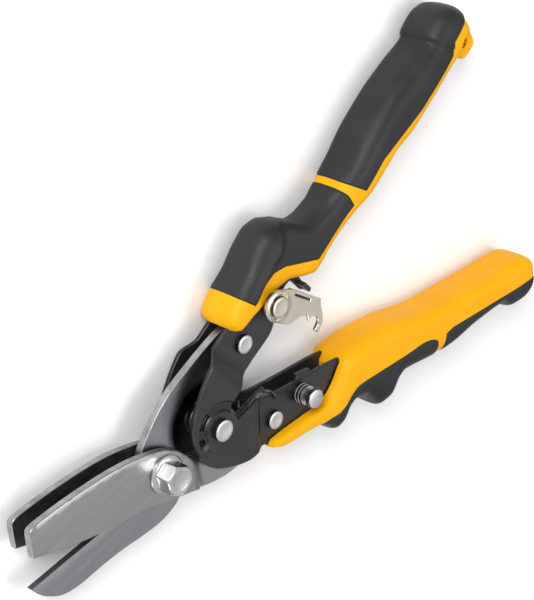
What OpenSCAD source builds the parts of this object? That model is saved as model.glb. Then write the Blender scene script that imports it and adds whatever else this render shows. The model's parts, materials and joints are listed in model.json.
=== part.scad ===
// Compound-action aviation snips, lying on one side.
// X runs along the tool towards the jaws, Z is up through the handle pivot.
// The linkage has four pivots: the handle pivot joins the two frames, the tail rivets join each
// frame to a blade's tail, and the blade pivot joins the forked jaw to the centre blade.
// Outlines of the blades are drawn in plan about the handle pivot. Everything that belongs to a
// handle is drawn in that handle's own plan: first number along the handle from the handle pivot,
// second number outwards from the tool's middle.

/* [Linkage] */
// Handle pivot to blade pivot, with the snips open
blade_pivot_x = 27; // [26.8:0.1:27.2]
// Handle pivot back to the tail rivets, along the jaw line
tail_rivet_x = 25.6; // [25.5:0.1:25.7]
// Tail rivets to each side of the jaw line
tail_rivet_y = 20.1; // [20:0.1:20.2]
// Angle between the jaw line and each open handle
handle_angle = 21.5; // [21.4:0.1:21.6]

/* [Plates] */
// Thickness of the centre blade
centre_t = 3.2; // [3:0.1:3.2]
// Thickness of each fork blade
fork_t = 3.1; // [2.9:0.1:3.1]
// Mid-plane to the inner face of a fork blade
fork_gap = 3.4; // [3.4:0.1:3.5]
// Thickness of the pressed frame cheeks
cheek_t = 1.8; // [1.5:0.1:1.8]
// Thickness of the latch plate
latch_t = 1.4; // [1.2:0.1:1.4]

/* [Pivots] */
// Shank radius of the three frame rivets
rivet_r = 3; // [2.6:0.1:3]
// Head radius of the handle pivot rivet
pivot_head_r = 4.4; // [4.2:0.1:4.6]
// Head radius of the two tail rivets
tail_head_r = 3.75; // [3.5:0.05:4]
// Shank radius of the blade pivot bolt
bolt_r = 3.5; // [3:0.1:3.6]
// Width across the flats of the bolt and nut
hex_width = 11; // [10:0.5:12]
// Radius of the flange under the bolt and nut
flange_r = 7.8; // [7:0.1:8]
// Radial clearance of a turning fit
running = 0.05; // [0.03:0.01:0.08]

/* [Handles] */
// Greatest half thickness of the handles
grip_h = 11; // [11:0.1:11.4]
// Thickness of the rubber panels
rubber = 2.2; // [2:0.1:2.4]
// Radius of the lanyard hole
lanyard_r = 2.8; // [2:0.1:3]

/* [Latch] */
// Latch rivet along the upper handle
latch_s = 49.2; // [49.1:0.1:49.3]
// Latch rivet outwards on the upper handle
latch_o = 9.7; // [9.6:0.1:9.8]
// Radius of the stud's neck, which the hook catches
neck_r = 2.4; // [2.2:0.1:2.5]
// Latch rivet to the middle of the hook's slot
hook_r = 22.2; // [22.1:0.1:22.3]

/* [Hidden] */
$fn = 48;

// Handle pivot from the middle of the tool's bounding box, and its mid-plane above the ground
pivot_at = [43.73, 0.51, grip_h];

// Levels above the mid-plane
fork_top = fork_gap + fork_t;
tail_z = 0.3;
cheek_z = 3.7;
lobe_z = 5.3;
wide_z = 8;
disc_top = wide_z + cheek_t;
cheek_top = cheek_z + cheek_t;
lobe_top = lobe_z + cheek_t;
channel_drop = 0.8;
latch_z = 10.6;
stud_top = 14.5;

steel = "silver";
frame_black = "#2c2f33";
yellow = "#f2a71b";
rubber_black = "#33363a";

stud_at = [45.8, 3.2];
stud_shank_r = 2.8;
latch_shank_r = 2.6;
latch_bush_r = 3.8;
tail_play = 0.6;
through = 12;
big = 400;

// ---- placing ----

module placed() translate(pivot_at) children();

module on_upper() rotate([0, 0, 180 + handle_angle]) children();

module on_lower() rotate([0, 0, 180 - handle_angle]) mirror([0, 1, 0]) children();

module far_side() mirror([0, 0, 1]) children();

module both_sides() {
    children();
    far_side() children();
}

module at_blade_pivot() translate([blade_pivot_x, 0, 0]) children();

module at_centre_rivet() translate([-tail_rivet_x, -tail_rivet_y, 0]) children();

module at_fork_rivet() translate([-tail_rivet_x, tail_rivet_y, 0]) children();

module at_latch_rivet() on_upper() translate([latch_s, latch_o, 0]) children();

module at_stud() on_lower() translate([stud_at[0], stud_at[1], 0]) children();

// ---- plain shapes ----

module post(r, z0, z1) translate([0, 0, z0]) cylinder(r = r, h = z1 - z0);

module ring(r, bore, z0, z1) difference() {
    post(r, z0, z1);
    post(bore, z0 - 1, z1 + 1);
}

module slab(outline, z0, z1) translate([0, 0, z0]) linear_extrude(z1 - z0) polygon(outline);

// A domed rivet head standing on z0
module head(r, z0, z1) rotate_extrude() polygon([[0, z0], [r - 0.3, z0], [r, z0 + 0.3],
    [r, z1 - 0.7], [r - 0.2, z1 - 0.35], [r - 0.7, z1 - 0.1], [r - 1.6, z1], [0, z1]]);

// Side view of a plate that steps from level z0 (up to s0) to level z1 (beyond s1)
module joggled(s0, z0, s1, z1, t) rotate([90, 0, 0]) linear_extrude(big, center = true)
    polygon([[-big, z0], [s0, z0], [s1, z1], [big, z1], [big, z1 + t], [s1, z1 + t], [s0, z0 + t],
        [-big, z0 + t]]);

// Points on an arc about c, from direction a0 to a1
function arc(c, r, a0, a1, n) = [for (i = [0:n]) let (a = a0 + (a1 - a0) * i / n) c + r * [cos(a), sin(a)]];

// ---- blades ----

fork_bend = 41.8;
fork_bend_angle = -12.6;
tail_boss_r = 8.6;

fork_outline = concat(
    [[80.8, -26.5], [84.2, -26.5], [85.6, -25.1], [88.2, -15.6], [69.8, -5.4], [60, -1.2], [37.4, 6.8],
        [25.6, 13.7], [16.4, 18.2], [13.6, 21.5], [6.4, 24.6], [-0.4, 26.6], [-14, 27.8]],
    arc([-tail_rivet_x, tail_rivet_y], tail_boss_r, 90, 270, 16),
    [[-10, 11.6], [3, 11.6], [9, 10], [13.8, 6.6], [16.6, -1.6], [21.3, -7.8], [28.2, -12.4],
        [42.6, -18.9], [65.4, -24.2]]);

module fork_blade() difference() {
    intersection() {
        slab(fork_outline, -1, fork_top + 1);
        at_fork_rivet() rotate([0, 0, fork_bend_angle])
            joggled(fork_bend - fork_gap + tail_z, tail_z, fork_bend, fork_gap, fork_t);
    }
    at_blade_pivot() post(bolt_r, -1, fork_top + 1);
    at_fork_rivet() post(rivet_r + running, -1, fork_top + 1);
}

module fork_blade_near() placed() color(steel) fork_blade();

module fork_blade_far() placed() color(steel) far_side() fork_blade();

centre_outline = concat(
    [[92.3, -0.4], [90.3, 5], [85.2, 10.8], [81.2, 13.1], [75.3, 14.8], [65.1, 15.5], [54.4, 17],
        [44, 19.5], [34.5, 21.1], [28.7, 20.5], [24.2, 19.4], [19.5, 14], [17.5, 8], [15, 0.5],
        [10.5, -8.5], [3, -11.4], [-5, -11]],
    arc([-tail_rivet_x, -tail_rivet_y], tail_boss_r, 75, 270, 16),
    [[-17, -28.5], [1, -25.5], [13.5, -22.5], [28, -14], [33, -8.5], [36.5, -3], [38, 4.9],
        [58.9, 2.9]]);

module centre_blade() placed() color(steel) difference() {
    slab(centre_outline, -centre_t / 2, centre_t / 2);
    at_blade_pivot() post(bolt_r + running, -5, 5);
    at_centre_rivet() post(rivet_r + tail_play, -5, 5);
}

module blade_pivot_bolt() placed() color(steel) at_blade_pivot() {
    post(bolt_r, -8, 9);
    rotate_extrude() polygon([[0, fork_top], [flange_r, fork_top], [flange_r, fork_top + 0.6],
        [flange_r - 1.6, fork_top + 1.5], [0, fork_top + 1.5]]);
    difference() {
        intersection() {
            translate([0, 0, fork_top + 1]) rotate(20) cylinder(d = hex_width / cos(30), h = 7, $fn = 6);
            rotate_extrude() polygon([[0, 7], [7, 7], [7, 13.4], [5.4, stud_top], [0, stud_top]]);
        }
        post(3.6, stud_top - 0.5, stud_top + 1);
    }
}

module blade_pivot_nut() placed() color(steel) at_blade_pivot() far_side() difference() {
    union() {
        rotate_extrude() polygon([[0, fork_top], [flange_r, fork_top], [flange_r, fork_top + 0.6],
            [flange_r - 1.6, fork_top + 1.5], [0, fork_top + 1.5]]);
        rotate(8) translate([0, 0, fork_top + 1])
            cylinder(d = hex_width / cos(30), h = grip_h - fork_top - 1, $fn = 6);
    }
    post(bolt_r, fork_top - 1, 8);
}

module thrust_washers() placed() color(steel) at_blade_pivot() both_sides()
    ring(7, bolt_r, centre_t / 2 + 0.05, fork_gap);

// ---- frames ----

upper_plan = [[-13, 1], [-12.7, 4.2], [-11, 8.4], [-7.4, 13], [-3.3, 15.6], [4, 18.5], [11, 20.5],
    [17, 21.5], [27, 21], [60, 18.5], [66, 11], [95, 5], [95, 2], [66, 2.5],
    [58, 5.5], [51, 3.5], [45, -0.6], [40.3, -1.8], [29.8, -0.4], [23.2, -0.2], [18, 0.9], [15, 1.5],
    [10.3, 1.3], [8.4, -0.2], [0, -1]];
disc_r = 8.7;
channel_in = 7.3;
channel_out = 10.8;
pierced_in = 7.7;
pierced_out = 10.2;

// The sector of a ring between two directions, used for the channel and for its pierced slots
module ring_sector(r0, r1, a0, a1, z0, z1) intersection() {
    ring(r1, r0, z0, z1);
    slab(concat([[0, 0]], arc([0, 0], 2 * r1, a0, a1, 8)), z0 - 1, z1 + 1);
}

// With stop, the plate has an ear whose upturned end holds the open latch
module upper_cheek(stop) difference() {
    union() {
        if (stop) {
            slab([[62, 6], [62, -4], [64.5, -3.5], [66, 6]], cheek_z, cheek_top);
            slab([[62.4, 1], [62.4, -4], [64, -3.5], [64, 1]], cheek_top - 0.2, disc_top);
        }
        intersection() {
            union() {
                slab(upper_plan, 0, through);
                post(disc_r, 0, through);
            }
            joggled(16.2, wide_z, 23.2, cheek_z, cheek_t);
        }
        ring_sector(channel_in, channel_out, 0, 165, wide_z - channel_drop, wide_z + 0.5);
    }
    ring_sector(channel_in, channel_out, 0, 165, disc_top - channel_drop, disc_top + 1);
    ring_sector(pierced_in, pierced_out, 82, 122, 0, through);
    ring_sector(pierced_in, pierced_out, 146, 163, 0, through);
    post(rivet_r + running, 0, through);
    rotate([0, 0, -180 - handle_angle]) at_centre_rivet() post(rivet_r, 0, through);
    translate([latch_s, latch_o, 0]) post(latch_shank_r, 0, through);
}

module upper_cheek_near() placed() color(frame_black) on_upper() upper_cheek(true);

module upper_cheek_far() placed() color(frame_black) on_upper() far_side() upper_cheek(false);

lower_plan = [[-8.9, 9], [-8.7, 11.6], [-1, 18], [8.6, 20.5], [16.5, 21.3], [20.8, 20.3], [24.4, 18.2],
    [58, 17.4], [66, 9], [95, 8], [95, -2.5], [66, -3.5], [54, -2.9], [43.5, -1.9], [25.2, -1],
    [21.9, -3.2], [20.3, -2.2], [12, 1.2], [7, -2], [-7, 2]];
lobe_r = 7.4;
tab_z = 3;

// With tab, the plate's inner edge has a folded tab
module lower_cheek(tab) difference() {
    union() {
        intersection() {
            union() {
                slab(lower_plan, 0, through);
                post(lobe_r, 0, through);
            }
            joggled(21.6, lobe_z, 24.4, cheek_z, cheek_t);
        }
        if (tab) {
            slab([[44.5, -4.5], [52, -4.5], [53, -2], [43.5, -1]], cheek_z, cheek_top);
            slab([[44.5, -4.5], [52, -4.5], [52, -3], [44.5, -3]], tab_z, cheek_z + 0.1);
        }
    }
    slab([[22.6, 2], [24, 2], [24, 13], [22.6, 13]], 0, through);
    post(rivet_r, 0, through);
    mirror([0, 1, 0]) rotate([0, 0, handle_angle - 180]) at_fork_rivet() post(rivet_r, 0, through);
    translate([stud_at[0], stud_at[1], 0]) post(stud_shank_r, 0, through);
}

module lower_cheek_near() placed() color(frame_black) on_lower() lower_cheek(true);

module lower_cheek_far() placed() color(frame_black) on_lower() far_side() lower_cheek(false);

// ---- rivets, bushes and spring ----

module handle_pivot_rivet() placed() color(steel) {
    post(rivet_r, -disc_top - 0.1, disc_top + 0.2);
    head(pivot_head_r, disc_top + 0.1, 12);
    far_side() head(pivot_head_r, disc_top + 0.1, grip_h);
}

module handle_pivot_bush() placed() color(steel) ring(4, rivet_r, -lobe_z, lobe_z);

module handle_pivot_washers() placed() color(steel) both_sides()
    ring(6.3, rivet_r, lobe_top, wide_z - 0.05);

module tail_rivet_solid() {
    post(rivet_r, -cheek_top, cheek_top);
    both_sides() head(tail_head_r, cheek_top, cheek_top + 1.9);
}

module centre_blade_rivet() placed() color(steel) at_centre_rivet() tail_rivet_solid();

module fork_blade_rivet() placed() color(steel) at_fork_rivet() tail_rivet_solid();

module centre_blade_spacers() placed() color(steel) at_centre_rivet() both_sides()
    ring(6, rivet_r, centre_t / 2 + 0.15, cheek_z);

wire_r = 0.7;
coil_r = 5.4;
coil_h = 8.4;
coil_turns = 3;
coil_steps = 48;
leg_turn = 89;
coil_sweep = 2 * leg_turn + 360 * coil_turns;

// A leg in its own handle's plan, then turned into the tool's plan
leg = [[32, 0.5, 6.4], [31.2, -1.8, 6.3], [30.4, -2.6, 4.5], [28.5, -3, 2.9], [26, -3.6, 2.9]];
function on_lower_point(p) = [-cos(handle_angle) * p[0] + sin(handle_angle) * p[1],
    sin(handle_angle) * p[0] + cos(handle_angle) * p[1], p[2]];
function mirrored(p) = [p[0], -p[1], -p[2]];

spring_path = concat(
    [for (p = leg) on_lower_point(p)],
    [for (i = [0:coil_steps]) let (a = leg_turn - coil_sweep * i / coil_steps)
        [coil_r * cos(a), coil_r * sin(a), coil_h * (0.5 - i / coil_steps)]],
    [for (i = [len(leg) - 1:-1:0]) mirrored(on_lower_point(leg[i]))]);

function unit(v) = v / norm(v);

// A round wire swept along a path of points
module wire(path, r, sides = 8) {
    n = len(path);
    points = [for (i = [0:n - 1]) let (
        along = unit(path[min(i + 1, n - 1)] - path[max(i - 1, 0)]),
        across = unit(cross(along, [0, 0, 1])),
        up = cross(across, along))
        for (k = [0:sides - 1]) path[i] + r * (across * cos(360 * k / sides) + up * sin(360 * k / sides))];
    sides_faces = [for (i = [0:n - 2]) for (k = [0:sides - 1]) let (
        a = i * sides + k,
        b = i * sides + (k + 1) % sides)
        each [[a, a + sides, b + sides], [a, b + sides, b]]];
    ends = [[for (k = [0:sides - 1]) k], [for (k = [sides - 1:-1:0]) (n - 1) * sides + k]];
    polyhedron(points, concat(sides_faces, ends));
}

module return_spring() placed() color("dimgray") wire(spring_path, wire_r);

// ---- latch ----

seat_angle = -78.4;
slot_half = neck_r + 0.35;
latch_eye = [latch_s, latch_o];

latch_outline = concat(
    arc(latch_eye, 6.3, 215, 20, 20),
    [[57.4, 9], [58.4, 6.5], [62.9, -9], [61.2, -10.5], [59.3, -13.8]],
    arc(latch_eye, hook_r + slot_half + 2.4, seat_angle + 5, seat_angle - 5.6, 6),
    arc(latch_eye, hook_r + slot_half, seat_angle - 5.2, seat_angle, 4),
    arc(latch_eye + hook_r * [cos(seat_angle), sin(seat_angle)], slot_half, seat_angle, seat_angle + 180, 10),
    [[54.5, -7], [52, -3.5], [47, -1.5]]);

module latch_plate() placed() color("lightgray") on_upper() difference() {
    union() {
        slab(latch_outline, latch_z, latch_z + latch_t);
        slab([[57.6, 6.5], [58.4, 6.5], [61.6, -4.5], [60.2, -4.5]], 8.4, latch_z + 0.2);
        translate([latch_s, latch_o, 0]) ring(6.1, 5, latch_z + latch_t - 0.1, latch_z + latch_t + 0.5);
    }
    slab([[56.6, 5], [57.4, 5.2], [60, -4], [59.2, -4.2]], latch_z - 3, 20);
    translate([latch_s, latch_o, 0]) post(latch_shank_r + running, 0, 20);
}

module latch_rivet() placed() color(steel) at_latch_rivet() {
    post(latch_shank_r, cheek_z - 0.6, latch_z + latch_t + 0.3);
    post(3.6, cheek_z - 1.4, cheek_z);
    head(4.3, latch_z + latch_t + 0.1, latch_z + latch_t + 1.6);
}

module latch_bush() placed() color(frame_black) at_latch_rivet()
    ring(latch_bush_r, latch_shank_r, cheek_top, latch_z - 0.1);

stud_r = 4.1;

module latch_stud() placed() color(steel) at_stud() rotate_extrude() polygon([[0, 2.4], [3.6, 2.4],
    [3.6, cheek_z], [stud_shank_r, cheek_z], [stud_shank_r, cheek_top], [stud_r, cheek_top], [stud_r, 9.8],
    [neck_r, 10.3], [neck_r, 12.3], [stud_r, 12.6], [stud_r, stud_top - 0.5], [stud_r - 0.5, stud_top],
    [0, stud_top]]);

// ---- handles ----

// One cross-section of a handle: a rounded box in the plane across the handle.
// A station is [along, inner edge, outer edge, half thickness]. square holds how square the inner and
// the outer side are, where 2 is an ellipse.
ring_points = 24;
function signed_power(v, p) = sign(v) * pow(abs(v), p);
function section(st, wall, square) = [for (i = [0:ring_points - 1]) let (
    a = 360 * i / ring_points,
    power = 2 / square[cos(a) < 0 ? 0 : 1],
    middle = (st[1] + st[2]) / 2,
    half = max((st[2] - st[1]) / 2 - wall, 0.6))
    [st[0], middle + half * signed_power(cos(a), power),
        max(st[3] - wall, 0.6) * signed_power(sin(a), power)]];

module loft(stations, wall, square) {
    n = len(stations);
    k = ring_points;
    points = [for (st = stations) each section(st, wall, square)];
    walls = [for (j = [0:n - 2]) for (i = [0:k - 1]) let (
        a = j * k + i,
        b = j * k + (i + 1) % k)
        each [[a, a + k, b + k], [a, b + k, b]]];
    ends = [[for (i = [0:k - 1]) i], [for (i = [k - 1:-1:0]) (n - 1) * k + i]];
    polyhedron(points, concat(walls, ends));
}

module trimmed(outline) intersection() {
    children();
    slab(outline, -20, 20);
}

upper_square = [5, 2.8];
upper_stations = [[32, 18, 23, 7.5], [34, 16, 25, 9.5], [41, 14.5, 26.5, 10], [51, 9.5, 27.5, 10],
    [61, 5, 30, 10], [67, -2, 30.5, 10.5], [72, -6.5, 28.5, 10.5], [76, -6.5, 24.5, 10.5],
    [81, -5.5, 14.5, 10.5], [87, -5.5, 11, 10.5], [96, -6, 9, 10], [110, -7.5, 9, 10.5],
    [126, -7.5, 11, grip_h], [140, -10, 11.5, grip_h], [157, -10.5, 9.5, grip_h], [169, -10.5, 7.5, 10.5],
    [172, -11, 9.5, 10.5], [178, -11, 10, 10.5], [184, -10.5, 7.5, 10], [187, -10, 4, 8],
    [188.5, -8.5, 1, 5]];
upper_front_area = [[37, 60], [41, 32], [44, 18.5], [59, 16], [64, 12.5], [75, -1.5], [100, -1.5],
    [101, 4], [100.5, 10], [99.5, 30], [99.5, 60]];
upper_rear_area = [[102.5, 60], [102.5, 30], [103, 10], [105, 4], [107, -2], [121, -1], [147, -5.5],
    [166, -6], [172, -5.5], [176, -1.5], [200, -0.5], [200, 60]];

lower_square = [4, 3.4];
lower_stations = [[28, 17, 20.5, 7.5], [30, 16.5, 21, 9], [34, 15.5, 21.5, 10], [50, 12.5, 20.5, 10],
    [56, 11, 21, 10], [59, 9, 23, 10], [64, 3, 26, 10.5], [67, -2, 25, 10.5], [70, -5.5, 20.5, 10.5],
    [75, -6.5, 17.5, 10.5], [81, -8, 18, 10.5], [85, -8.5, 21, 10.5], [90, -9, 25.5, 10.5],
    [95, -9, 24.5, 10.5], [99, -9, 18.5, 10.5], [104, -8.5, 15, 10.5], [122, -7, 14.5, 10.5],
    [131, -7.5, 13.5, grip_h], [148, -8.5, 8.5, grip_h], [166, -10, 5.5, grip_h], [172, -11, 9, grip_h],
    [179, -11.5, 8.5, 10.5], [184, -10, 5.5, 10], [186, -7.5, 2, 7.5]];
lower_front_area = [[52, 60], [53.5, 26], [55.5, 18.5], [65, 17.5], [72, 10], [79, 8.5], [104, 6],
    [113.5, 4], [121.5, 5.5], [122.5, 9], [121, 13], [119.5, 60]];
lower_rear_area = [[125.5, 60], [126, 11], [127, 5], [131, 3.5], [166, 0.5], [184, -1.5], [200, -1.5],
    [200, 60]];

module handle_shell(stations, square) loft(stations, 0, square);

// The part of a handle that is covered by one rubber panel
module panel(stations, square, area) difference() {
    trimmed(area) handle_shell(stations, square);
    loft(stations, rubber, square);
}

// The trough that the frame sits in, wider at its mouth, and the two slots that hold the cheeks' ends
module frame_socket(back, slot) {
    slab([[0, -40], [0, back + 0.5], [30, back + 0.5], [34, back], [62, back], [66, slot[1]],
        [66, -40]], -6, 6);
    both_sides() slab([[60, slot[0]], [60, slot[1]], [95, slot[1]], [95, slot[0]]], cheek_z, cheek_top);
}

module core(stations, square, areas, back, slot) difference() {
    handle_shell(stations, square);
    for (area = areas) panel(stations, square, area);
    frame_socket(back, slot);
}

lug_at = [181, -11];
lug_outline = [[173.5, -9], [176.5, -17], [178.5, -18.5], [184.5, -18.5], [186.5, -17], [187.5, -9]];
lug_h = 6;
lug_recess_r = 4.2;

module upper_handle_core() placed() color(yellow) on_upper() difference() {
    union() {
        core(upper_stations, upper_square, [upper_front_area, upper_rear_area], 21, [0, 11]);
        slab(lug_outline, -lug_h, lug_h);
    }
    translate([lug_at[0], lug_at[1], 0]) {
        post(lanyard_r, -through, through);
        both_sides() post(lug_recess_r, lug_h, through);
    }
    translate([latch_s, latch_o, 0]) post(latch_bush_r + 0.3, cheek_top, through);
}

module upper_front_grip() placed() color(rubber_black) on_upper()
    panel(upper_stations, upper_square, upper_front_area);

module upper_rear_grip() placed() color(rubber_black) on_upper()
    panel(upper_stations, upper_square, upper_rear_area);

module lower_handle_core() placed() color(yellow) on_lower()
    core(lower_stations, lower_square, [lower_front_area, lower_rear_area], 19.3, [-3.6, 9]);

module lower_front_grip() placed() color(rubber_black) on_lower()
    panel(lower_stations, lower_square, lower_front_area);

module lower_rear_grip() placed() color(rubber_black) on_lower()
    panel(lower_stations, lower_square, lower_rear_area);

fork_blade_near();
fork_blade_far();
centre_blade();
blade_pivot_bolt();
blade_pivot_nut();
thrust_washers();
upper_cheek_near();
upper_cheek_far();
lower_cheek_near();
lower_cheek_far();
handle_pivot_rivet();
handle_pivot_bush();
handle_pivot_washers();
centre_blade_rivet();
centre_blade_spacers();
fork_blade_rivet();
return_spring();
latch_plate();
latch_rivet();
latch_bush();
latch_stud();
upper_handle_core();
upper_front_grip();
upper_rear_grip();
lower_handle_core();
lower_front_grip();
lower_rear_grip();
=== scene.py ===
import json
import math

import bmesh
import bpy
import numpy as np
from mathutils import Matrix, Vector
from mathutils.geometry import delaunay_2d_cdt


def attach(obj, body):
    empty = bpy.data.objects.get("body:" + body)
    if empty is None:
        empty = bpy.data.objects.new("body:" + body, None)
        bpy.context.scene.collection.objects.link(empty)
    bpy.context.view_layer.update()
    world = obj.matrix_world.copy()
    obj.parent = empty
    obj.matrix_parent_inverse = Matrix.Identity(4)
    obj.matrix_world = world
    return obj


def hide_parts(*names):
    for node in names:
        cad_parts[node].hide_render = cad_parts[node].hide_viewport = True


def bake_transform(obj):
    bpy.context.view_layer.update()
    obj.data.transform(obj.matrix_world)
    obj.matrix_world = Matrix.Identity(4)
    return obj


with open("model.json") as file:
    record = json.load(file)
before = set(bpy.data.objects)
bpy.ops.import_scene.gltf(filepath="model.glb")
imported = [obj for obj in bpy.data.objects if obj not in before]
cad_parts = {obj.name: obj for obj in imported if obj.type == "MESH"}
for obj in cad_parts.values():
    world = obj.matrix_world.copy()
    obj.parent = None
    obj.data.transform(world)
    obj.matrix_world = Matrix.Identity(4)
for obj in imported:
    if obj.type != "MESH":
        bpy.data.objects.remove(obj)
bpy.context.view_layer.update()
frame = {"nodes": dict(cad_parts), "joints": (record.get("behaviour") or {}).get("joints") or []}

# Plan shapes are in millimetres, in three frames: the tool's plan about the handle pivot, and each handle's
# own plan, with the first number along the handle and the second outwards. Z is 0 at the tool's mid-plane.
MM = 0.001
HANDLE_ANGLE = math.radians(21.5)
pivots = {j["name"]: Vector(j["pos_m"]) for j in frame["joints"]}
hub = pivots["handle_squeeze"]
PLAN = Matrix.Translation(hub) @ Matrix.Scale(MM, 4)
UPPER = PLAN @ Matrix.Rotation(math.pi + HANDLE_ANGLE, 4, "Z")
LOWER = PLAN @ Matrix.Rotation(math.pi - HANDLE_ANGLE, 4, "Z") @ Matrix.Diagonal((1, -1, 1, 1))
FAR = Matrix.Diagonal((1, 1, -1, 1))


def local(frame_matrix, joint):
    """The place of a joint in one of the plans, as (first, second)."""
    p = frame_matrix.inverted() @ pivots[joint]
    return (p.x, p.y)


BLADE_PIVOT = local(PLAN, "centre_blade_cut")
FORK_RIVET = local(PLAN, "fork_swing")
CENTRE_RIVET = (FORK_RIVET[0], -FORK_RIVET[1])
LATCH_EYE = local(UPPER, "latch_swing")
STUD = (45.8, 3.2)


# ---- numbers ----

def monotone(xs, ys):
    """A smooth curve through the points that never overshoots them."""
    xs, ys = np.array(xs, float), np.array(ys, float)
    h, d = np.diff(xs), np.diff(ys) / np.diff(xs)
    m = np.concatenate([[d[0]], np.zeros(len(xs) - 2), [d[-1]]])
    for i in range(1, len(xs) - 1):
        if d[i - 1] * d[i] > 0:
            w1, w2 = 2 * h[i] + h[i - 1], h[i] + 2 * h[i - 1]
            m[i] = (w1 + w2) / (w1 / d[i - 1] + w2 / d[i])

    def at(x):
        x = np.clip(x, xs[0], xs[-1])
        i = np.clip(np.searchsorted(xs, x, side="right") - 1, 0, len(xs) - 2)
        q = (x - xs[i]) / h[i]
        a, b = ys[i], ys[i + 1]
        return (a * (1 + 2 * q) * (1 - q) ** 2 + b * q * q * (3 - 2 * q)
                + h[i] * (m[i] * q * (1 - q) ** 2 - m[i + 1] * q * q * (1 - q)))
    return at


def ease(x, lo, hi):
    """0 below lo, 1 above hi, and a smooth step between them."""
    q = np.clip((x - lo) / (hi - lo), 0, 1)
    return q * q * (3 - 2 * q)


def arc(centre, r, a0, a1, n):
    """Points on an arc, from direction a0 to a1 in degrees."""
    return [(centre[0] + r * math.cos(math.radians(a0 + (a1 - a0) * i / n)),
             centre[1] + r * math.sin(math.radians(a0 + (a1 - a0) * i / n))) for i in range(n + 1)]


def rounded(loop, keep=38, rounds=2):
    """Cuts the gentle corners of a closed outline into a curve, and keeps those that turn more than keep
    degrees."""
    pts = [np.array(p, float) for p in loop]
    for _ in range(rounds):
        out = []
        n = len(pts)
        for i, p in enumerate(pts):
            a, b = pts[i - 1] - p, pts[(i + 1) % n] - p
            cosine = float(a @ b) / (np.linalg.norm(a) * np.linalg.norm(b) + 1e-12)
            if 180 - math.degrees(math.acos(max(-1.0, min(1.0, cosine)))) > keep:
                out.append(p)
            else:
                out += [p + 0.25 * a, p + 0.25 * b]
        pts = out
    return np.array(pts)


def dense(path, step, closed=True):
    """Points at most step apart along the same lines."""
    pts = np.array(path, float)
    out = []
    count = len(pts) if closed else len(pts) - 1
    for i in range(count):
        a, b = pts[i], pts[(i + 1) % len(pts)]
        n = max(1, math.ceil(np.linalg.norm(b - a) / step))
        out += [a + (b - a) * k / n for k in range(n)]
    if not closed:
        out.append(pts[-1])
    return np.array(out)


def distance(points, path, closed=True):
    """The distance of each point from a path."""
    path = np.array(path, float)
    ends = np.roll(path, -1, axis=0) if closed else path[1:]
    starts = path if closed else path[:-1]
    best = np.full(len(points), 1e9)
    for a, b in zip(starts, ends):
        ab = b - a
        q = np.clip(((points - a) @ ab) / (ab @ ab + 1e-12), 0, 1)
        best = np.minimum(best, np.linalg.norm(points - (a + q[:, None] * ab), axis=1))
    return best


def inside(points, loop):
    """Whether each point is inside the loop."""
    x, y = points[:, 0], points[:, 1]
    hit = np.zeros(len(points), bool)
    for (x0, y0), (x1, y1) in zip(loop, np.roll(loop, -1, axis=0)):
        if y0 != y1:
            hit ^= ((y0 > y) != (y1 > y)) & (x < (x1 - x0) * (y - y0) / (y1 - y0) + x0)
    return hit


def turned(loop, anticlockwise=True):
    """The loop in the direction asked for."""
    nxt = np.roll(loop, -1, axis=0)
    area = float(np.sum(loop[:, 0] * nxt[:, 1] - nxt[:, 0] * loop[:, 1]))
    return loop if (area > 0) == anticlockwise else loop[::-1]


def shifted(loop, by):
    """The loop moved to its left by a small distance."""
    back, ahead = np.roll(loop, 1, axis=0), np.roll(loop, -1, axis=0)
    e0, e1 = loop - back, ahead - loop
    n0 = np.stack([-e0[:, 1], e0[:, 0]], 1) / (np.linalg.norm(e0, axis=1)[:, None] + 1e-12)
    n1 = np.stack([-e1[:, 1], e1[:, 0]], 1) / (np.linalg.norm(e1, axis=1)[:, None] + 1e-12)
    mid = n0 + n1
    scale = 2 / np.maximum(np.sum(mid * mid, axis=1), 1.0)
    return loop + by * mid * scale[:, None]


# ---- meshes: each is (points, faces, material number of each face) ----

def joined(*parts):
    """Several meshes as one."""
    verts, faces, mats = [], [], []
    for v, f, m in parts:
        base = len(verts)
        verts += [tuple(p) for p in v]
        faces += [tuple(base + i for i in face) for face in f]
        mats += list(m)
    return verts, faces, mats


def filled(loops, step, clear, creases=()):
    """Triangles that fill the first loop and leave the others empty, and where each loop point went."""
    pts, edges = [], []
    for loop in loops:
        base = len(pts)
        pts += [tuple(p) for p in loop]
        edges += [(base + i, base + (i + 1) % len(loop)) for i in range(len(loop))]
    count = len(pts)
    for line in creases:
        line = np.array(line)
        keep = inside(line, loops[0])
        for loop in loops:
            keep &= distance(line, loop) > clear
        for i, p in enumerate(line):
            if keep[i]:
                pts.append(tuple(p))
                if i and keep[i - 1]:
                    edges.append((len(pts) - 2, len(pts) - 1))
    lo, hi = np.min(loops[0], axis=0), np.max(loops[0], axis=0)
    rows = np.arange(lo[1], hi[1], step * 0.87)
    columns = np.arange(lo[0], hi[0], step)
    grid = np.array([(x + (k % 2) * step / 2, y) for k, y in enumerate(rows) for x in columns])
    keep = inside(grid, loops[0])
    for k, loop in enumerate(loops):
        near = distance(grid, loop)
        keep &= near > max(clear, step * 0.5)
        if k:
            keep &= ~inside(grid, loop)
    for line in creases:
        keep &= distance(grid, np.array(line), closed=False) > step * 0.4
    pts += [tuple(p) for p in grid[keep]]
    out, _, tris, origin, _, _ = delaunay_2d_cdt([Vector(p) for p in pts], edges, [], 1, 1e-5)
    out = np.array([tuple(p) for p in out])
    place = {old: new for new, olds in enumerate(origin) for old in olds}
    middles = np.array([out[list(t)].mean(axis=0) for t in tris])
    good = inside(middles, loops[0])
    for loop in loops[1:]:
        good &= ~inside(middles, loop)
    return out, [tuple(t) for t, ok in zip(tris, good) if ok], [place[i] for i in range(count)]


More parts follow.
